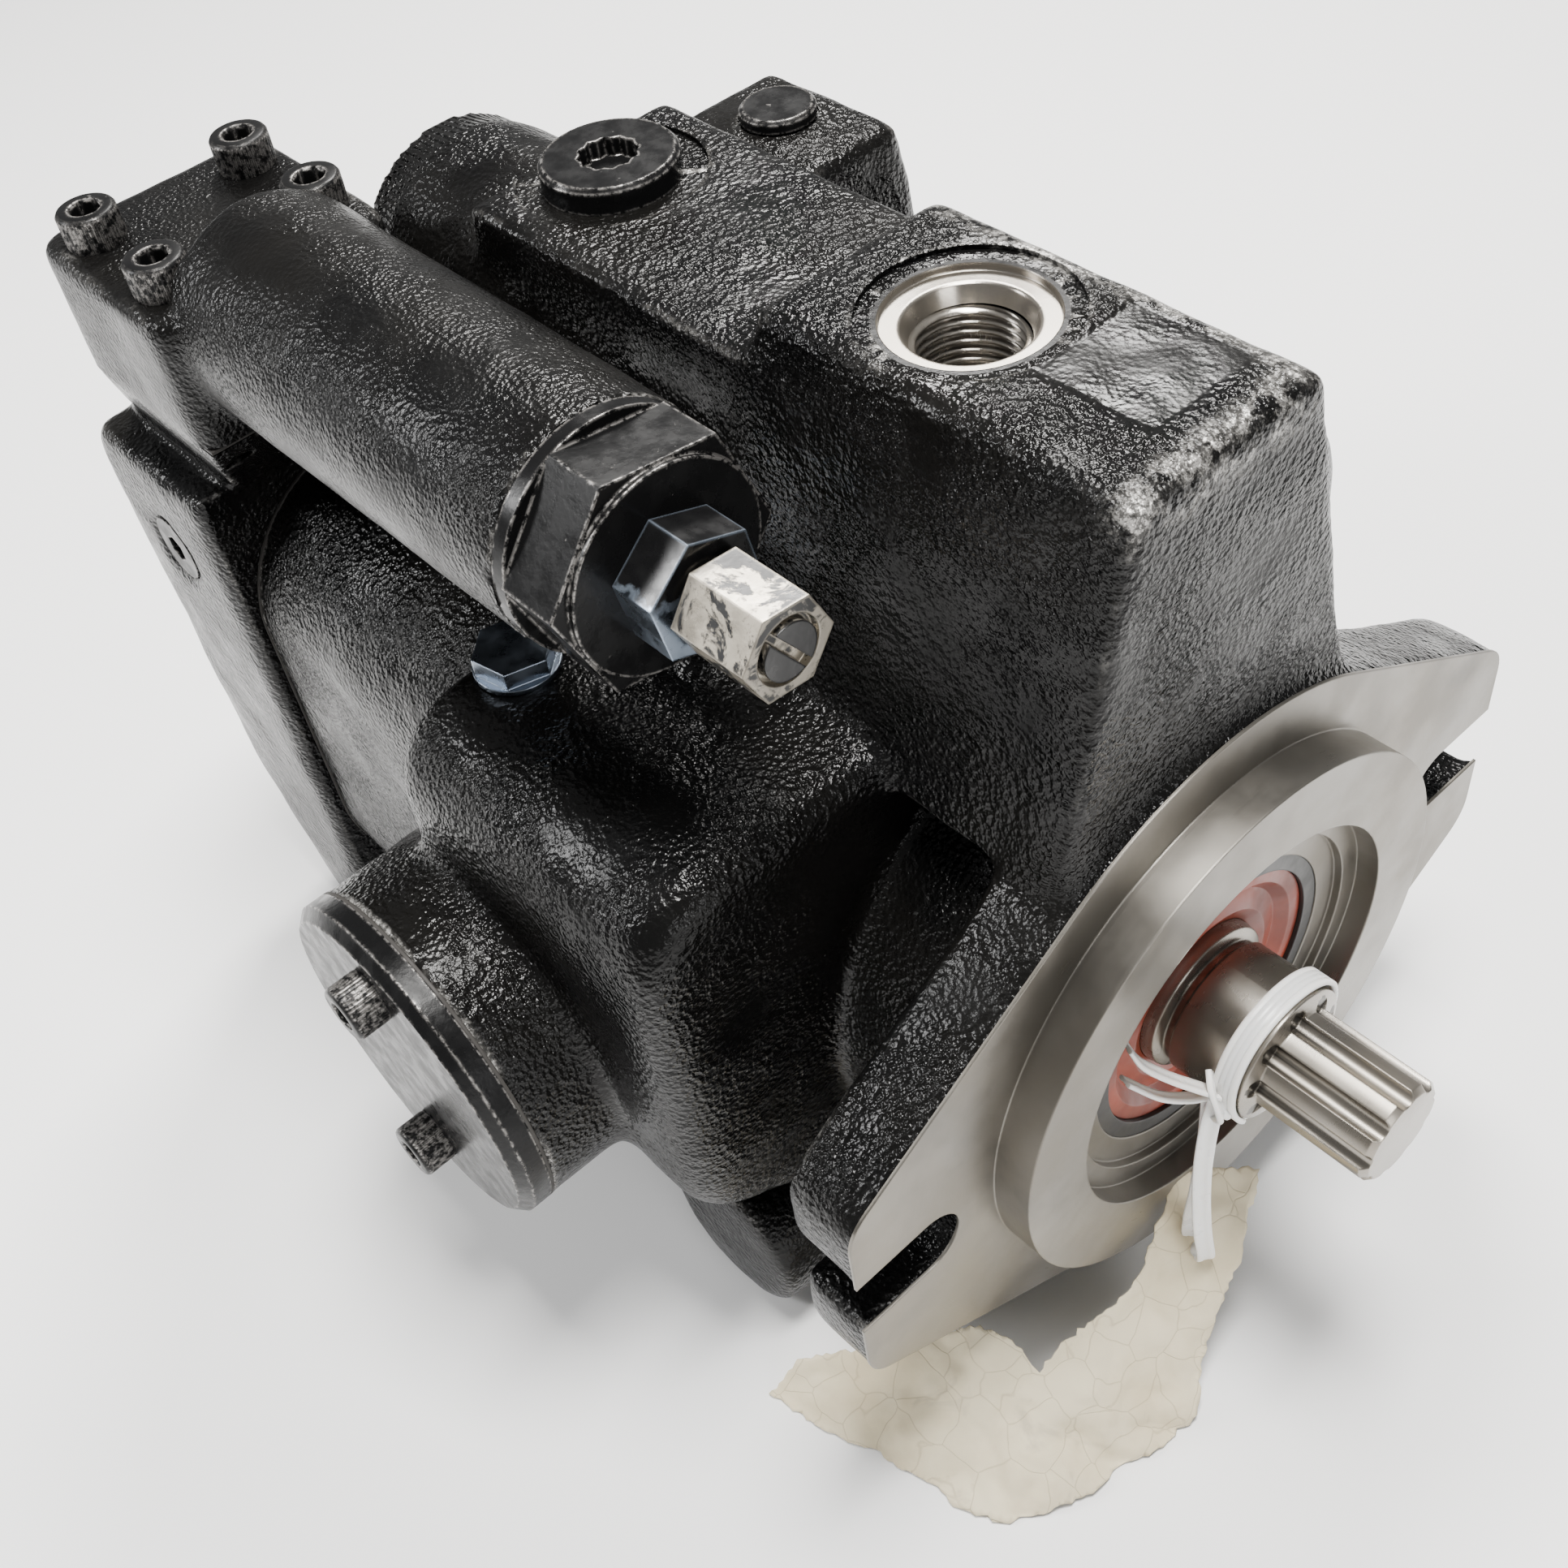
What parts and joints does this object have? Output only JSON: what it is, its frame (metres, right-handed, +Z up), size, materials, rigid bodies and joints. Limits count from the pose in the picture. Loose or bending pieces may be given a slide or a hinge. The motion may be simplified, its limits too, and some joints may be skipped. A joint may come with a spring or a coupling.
{
  "type": "axial piston pump",
  "caption": "Black variable axial piston pump: two-bolt pilot flange, splined shaft, pressure compensator on top, plugs and side trunnion covers.",
  "frame": {"origin": "centre of the pilot on the mounting face", "axes": "+X out along the drive shaft, +Z up towards the drain port, -Y the side that carries the compensator"},
  "size_m": [0.2088, 0.1782, 0.1535],
  "materials": {
    "black_screw": "black oxide with worn edges",
    "bronze": "bearing bronze",
    "cast_black": "gloss black enamel over a rough iron casting",
    "comp_black": "gloss black enamel",
    "cover_black": "gloss black enamel on a turned disc",
    "gasket": "compressed fibre",
    "plug_black": "black enamel over steel",
    "plug_steel": "black enamel over steel",
    "seal_black": "rubber coated seal case",
    "seal_orange": "silicone seal lip",
    "shaft_steel": "ground steel, light oil",
    "spring_steel": "oiled spring wire",
    "steel": "ground steel",
    "tag_card": "blank cream card",
    "tie_nylon": "natural nylon",
    "zinc": "zinc plated"
  },
  "bodies": {
    "housing": {"adjuster_lock_nut": "zinc", "bias_spring": "spring_steel", "compensator_body": "comp_black", "compensator_gasket": "gasket", "compensator_plug": "plug_black", "compensator_screws": "black_screw", "compensator_spring": "spring_steel", "front_bearing_outer_race": "steel", "gauge_plug": "zinc", "housing": "cast_black", "pad_plug": "plug_black", "rear_bearing_bush": "bronze", "rear_block_gasket": "gasket", "rear_block_screws": "black_screw", "rear_port_block": "cast_black", "shaft_seal_case": "seal_black", "shaft_seal_lip": "seal_orange", "side_plug": "plug_steel", "tag": "tag_card", "top_plug": "plug_black", "trunnion_bush_far": "bronze", "trunnion_bush_near": "bronze", "trunnion_cover_far": "cover_black", "trunnion_cover_near": "cover_black", "trunnion_cover_screws": "black_screw", "trunnion_gasket_far": "gasket", "trunnion_gasket_near": "gasket", "valve_plate": "bronze"},
    "rotating_group": {"drive_shaft": "shaft_steel", "cylinder_block": "steel", "ball_guide": "steel", "barrel_spring": "spring_steel", "barrel_spring_washer": "steel", "cable_tie": "tie_nylon", "front_bearing_inner_race": "steel"},
    "bearing_cage": {"front_bearing_cage": "steel", "front_bearing_balls": "steel"},
    "swashplate": {"swashplate": "steel"},
    "shoe_set": {"slippers": "bronze", "retainer_plate": "steel"},
    "control_piston": {"control_piston": "steel"},
    "bias_spring_seat": {"bias_spring_seat": "steel"},
    "compensator_spool": {"compensator_spool": "steel"},
    "adjusting_screw": {"adjusting_screw": "zinc"},
    "compensator_spring_seat": {"compensator_spring_seat": "steel"},
    "piston_1": {"piston_1": "steel"},
    "piston_2": {"piston_2": "steel"},
    "piston_3": {"piston_3": "steel"},
    "piston_4": {"piston_4": "steel"},
    "piston_5": {"piston_5": "steel"},
    "piston_6": {"piston_6": "steel"},
    "piston_7": {"piston_7": "steel"},
    "piston_8": {"piston_8": "steel"},
    "piston_9": {"piston_9": "steel"}
  },
  "joints": [
    {"name": "shaft_spin", "type": "hinge", "parent": "housing", "child": "rotating_group", "pos_m": [0, 0, 0], "axis": [1, 0, 0], "continuous": true},
    {"name": "bearing_cage_spin", "type": "hinge", "parent": "housing", "child": "bearing_cage", "pos_m": [-0.02, 0, 0], "axis": [1, 0, 0], "continuous": true},
    {"name": "swash_tilt", "type": "hinge", "parent": "housing", "child": "swashplate", "pos_m": [-0.072, 0, 0], "axis": [0, -1, 0], "range_deg": [0, 17]},
    {"name": "shoe_set_slide", "type": "slide", "parent": "rotating_group", "child": "shoe_set", "axis": [1, 0, 0], "range_m": [-0.00939, 0]},
    {"name": "control_piston_slide", "type": "slide", "parent": "housing", "child": "control_piston", "axis": [1, 0, 0], "range_m": [-0.018, 0]},
    {"name": "bias_seat_slide", "type": "slide", "parent": "housing", "child": "bias_spring_seat", "axis": [1, 0, 0], "range_m": [-0.0171, 0], "deforming": ["bias_spring"]},
    {"name": "spool_slide", "type": "slide", "parent": "housing", "child": "compensator_spool", "axis": [1, 0, 0], "range_m": [0, 0.0025], "stiffness_N_per_m": 20000, "deforming": ["compensator_spring"]},
    {"name": "adjuster_turn", "type": "hinge", "parent": "housing", "child": "adjusting_screw", "pos_m": [-0.045, -0.042, 0.08], "axis": [1, 0, 0], "range_deg": [0, 720]},
    {"name": "spring_seat_slide", "type": "slide", "parent": "housing", "child": "compensator_spring_seat", "axis": [1, 0, 0], "range_m": [-0.0021, 0], "deforming": ["compensator_spring"]},
    {"name": "piston_1_slide", "type": "slide", "parent": "rotating_group", "child": "piston_1", "axis": [1, 0, 0], "range_m": [-0.00939, 0]},
    {"name": "piston_2_slide", "type": "slide", "parent": "rotating_group", "child": "piston_2", "axis": [1, 0, 0], "range_m": [-0.00939, 0]},
    {"name": "piston_3_slide", "type": "slide", "parent": "rotating_group", "child": "piston_3", "axis": [1, 0, 0], "range_m": [-0.00939, 0]},
    {"name": "piston_4_slide", "type": "slide", "parent": "rotating_group", "child": "piston_4", "axis": [1, 0, 0], "range_m": [-0.00939, 0]},
    {"name": "piston_5_slide", "type": "slide", "parent": "rotating_group", "child": "piston_5", "axis": [1, 0, 0], "range_m": [-0.00939, 0]},
    {"name": "piston_6_slide", "type": "slide", "parent": "rotating_group", "child": "piston_6", "axis": [1, 0, 0], "range_m": [-0.00939, 0]},
    {"name": "piston_7_slide", "type": "slide", "parent": "rotating_group", "child": "piston_7", "axis": [1, 0, 0], "range_m": [-0.00939, 0]},
    {"name": "piston_8_slide", "type": "slide", "parent": "rotating_group", "child": "piston_8", "axis": [1, 0, 0], "range_m": [-0.00939, 0]},
    {"name": "piston_9_slide", "type": "slide", "parent": "rotating_group", "child": "piston_9", "axis": [1, 0, 0], "range_m": [-0.00939, 0]}
  ],
  "couplings": [
    {"joint": "bearing_cage_spin", "follows": "shaft_spin", "ratio": 0.4032},
    {"joint": "shoe_set_slide", "follows": "swash_tilt", "m_per_rad": -0.0313},
    {"joint": "control_piston_slide", "follows": "swash_tilt", "m_per_rad": -0.06},
    {"joint": "bias_seat_slide", "follows": "swash_tilt", "m_per_rad": -0.0565},
    {"joint": "spring_seat_slide", "follows": "adjuster_turn", "m_per_rad": -0.000159},
    {"joint": "piston_1_slide", "follows": "swash_tilt", "m_per_rad": -0.0313},
    {"joint": "piston_2_slide", "follows": "swash_tilt", "m_per_rad": -0.0313},
    {"joint": "piston_3_slide", "follows": "swash_tilt", "m_per_rad": -0.0313},
    {"joint": "piston_4_slide", "follows": "swash_tilt", "m_per_rad": -0.0313},
    {"joint": "piston_5_slide", "follows": "swash_tilt", "m_per_rad": -0.0313},
    {"joint": "piston_6_slide", "follows": "swash_tilt", "m_per_rad": -0.0313},
    {"joint": "piston_7_slide", "follows": "swash_tilt", "m_per_rad": -0.0313},
    {"joint": "piston_8_slide", "follows": "swash_tilt", "m_per_rad": -0.0313},
    {"joint": "piston_9_slide", "follows": "swash_tilt", "m_per_rad": -0.0313}
  ]
}
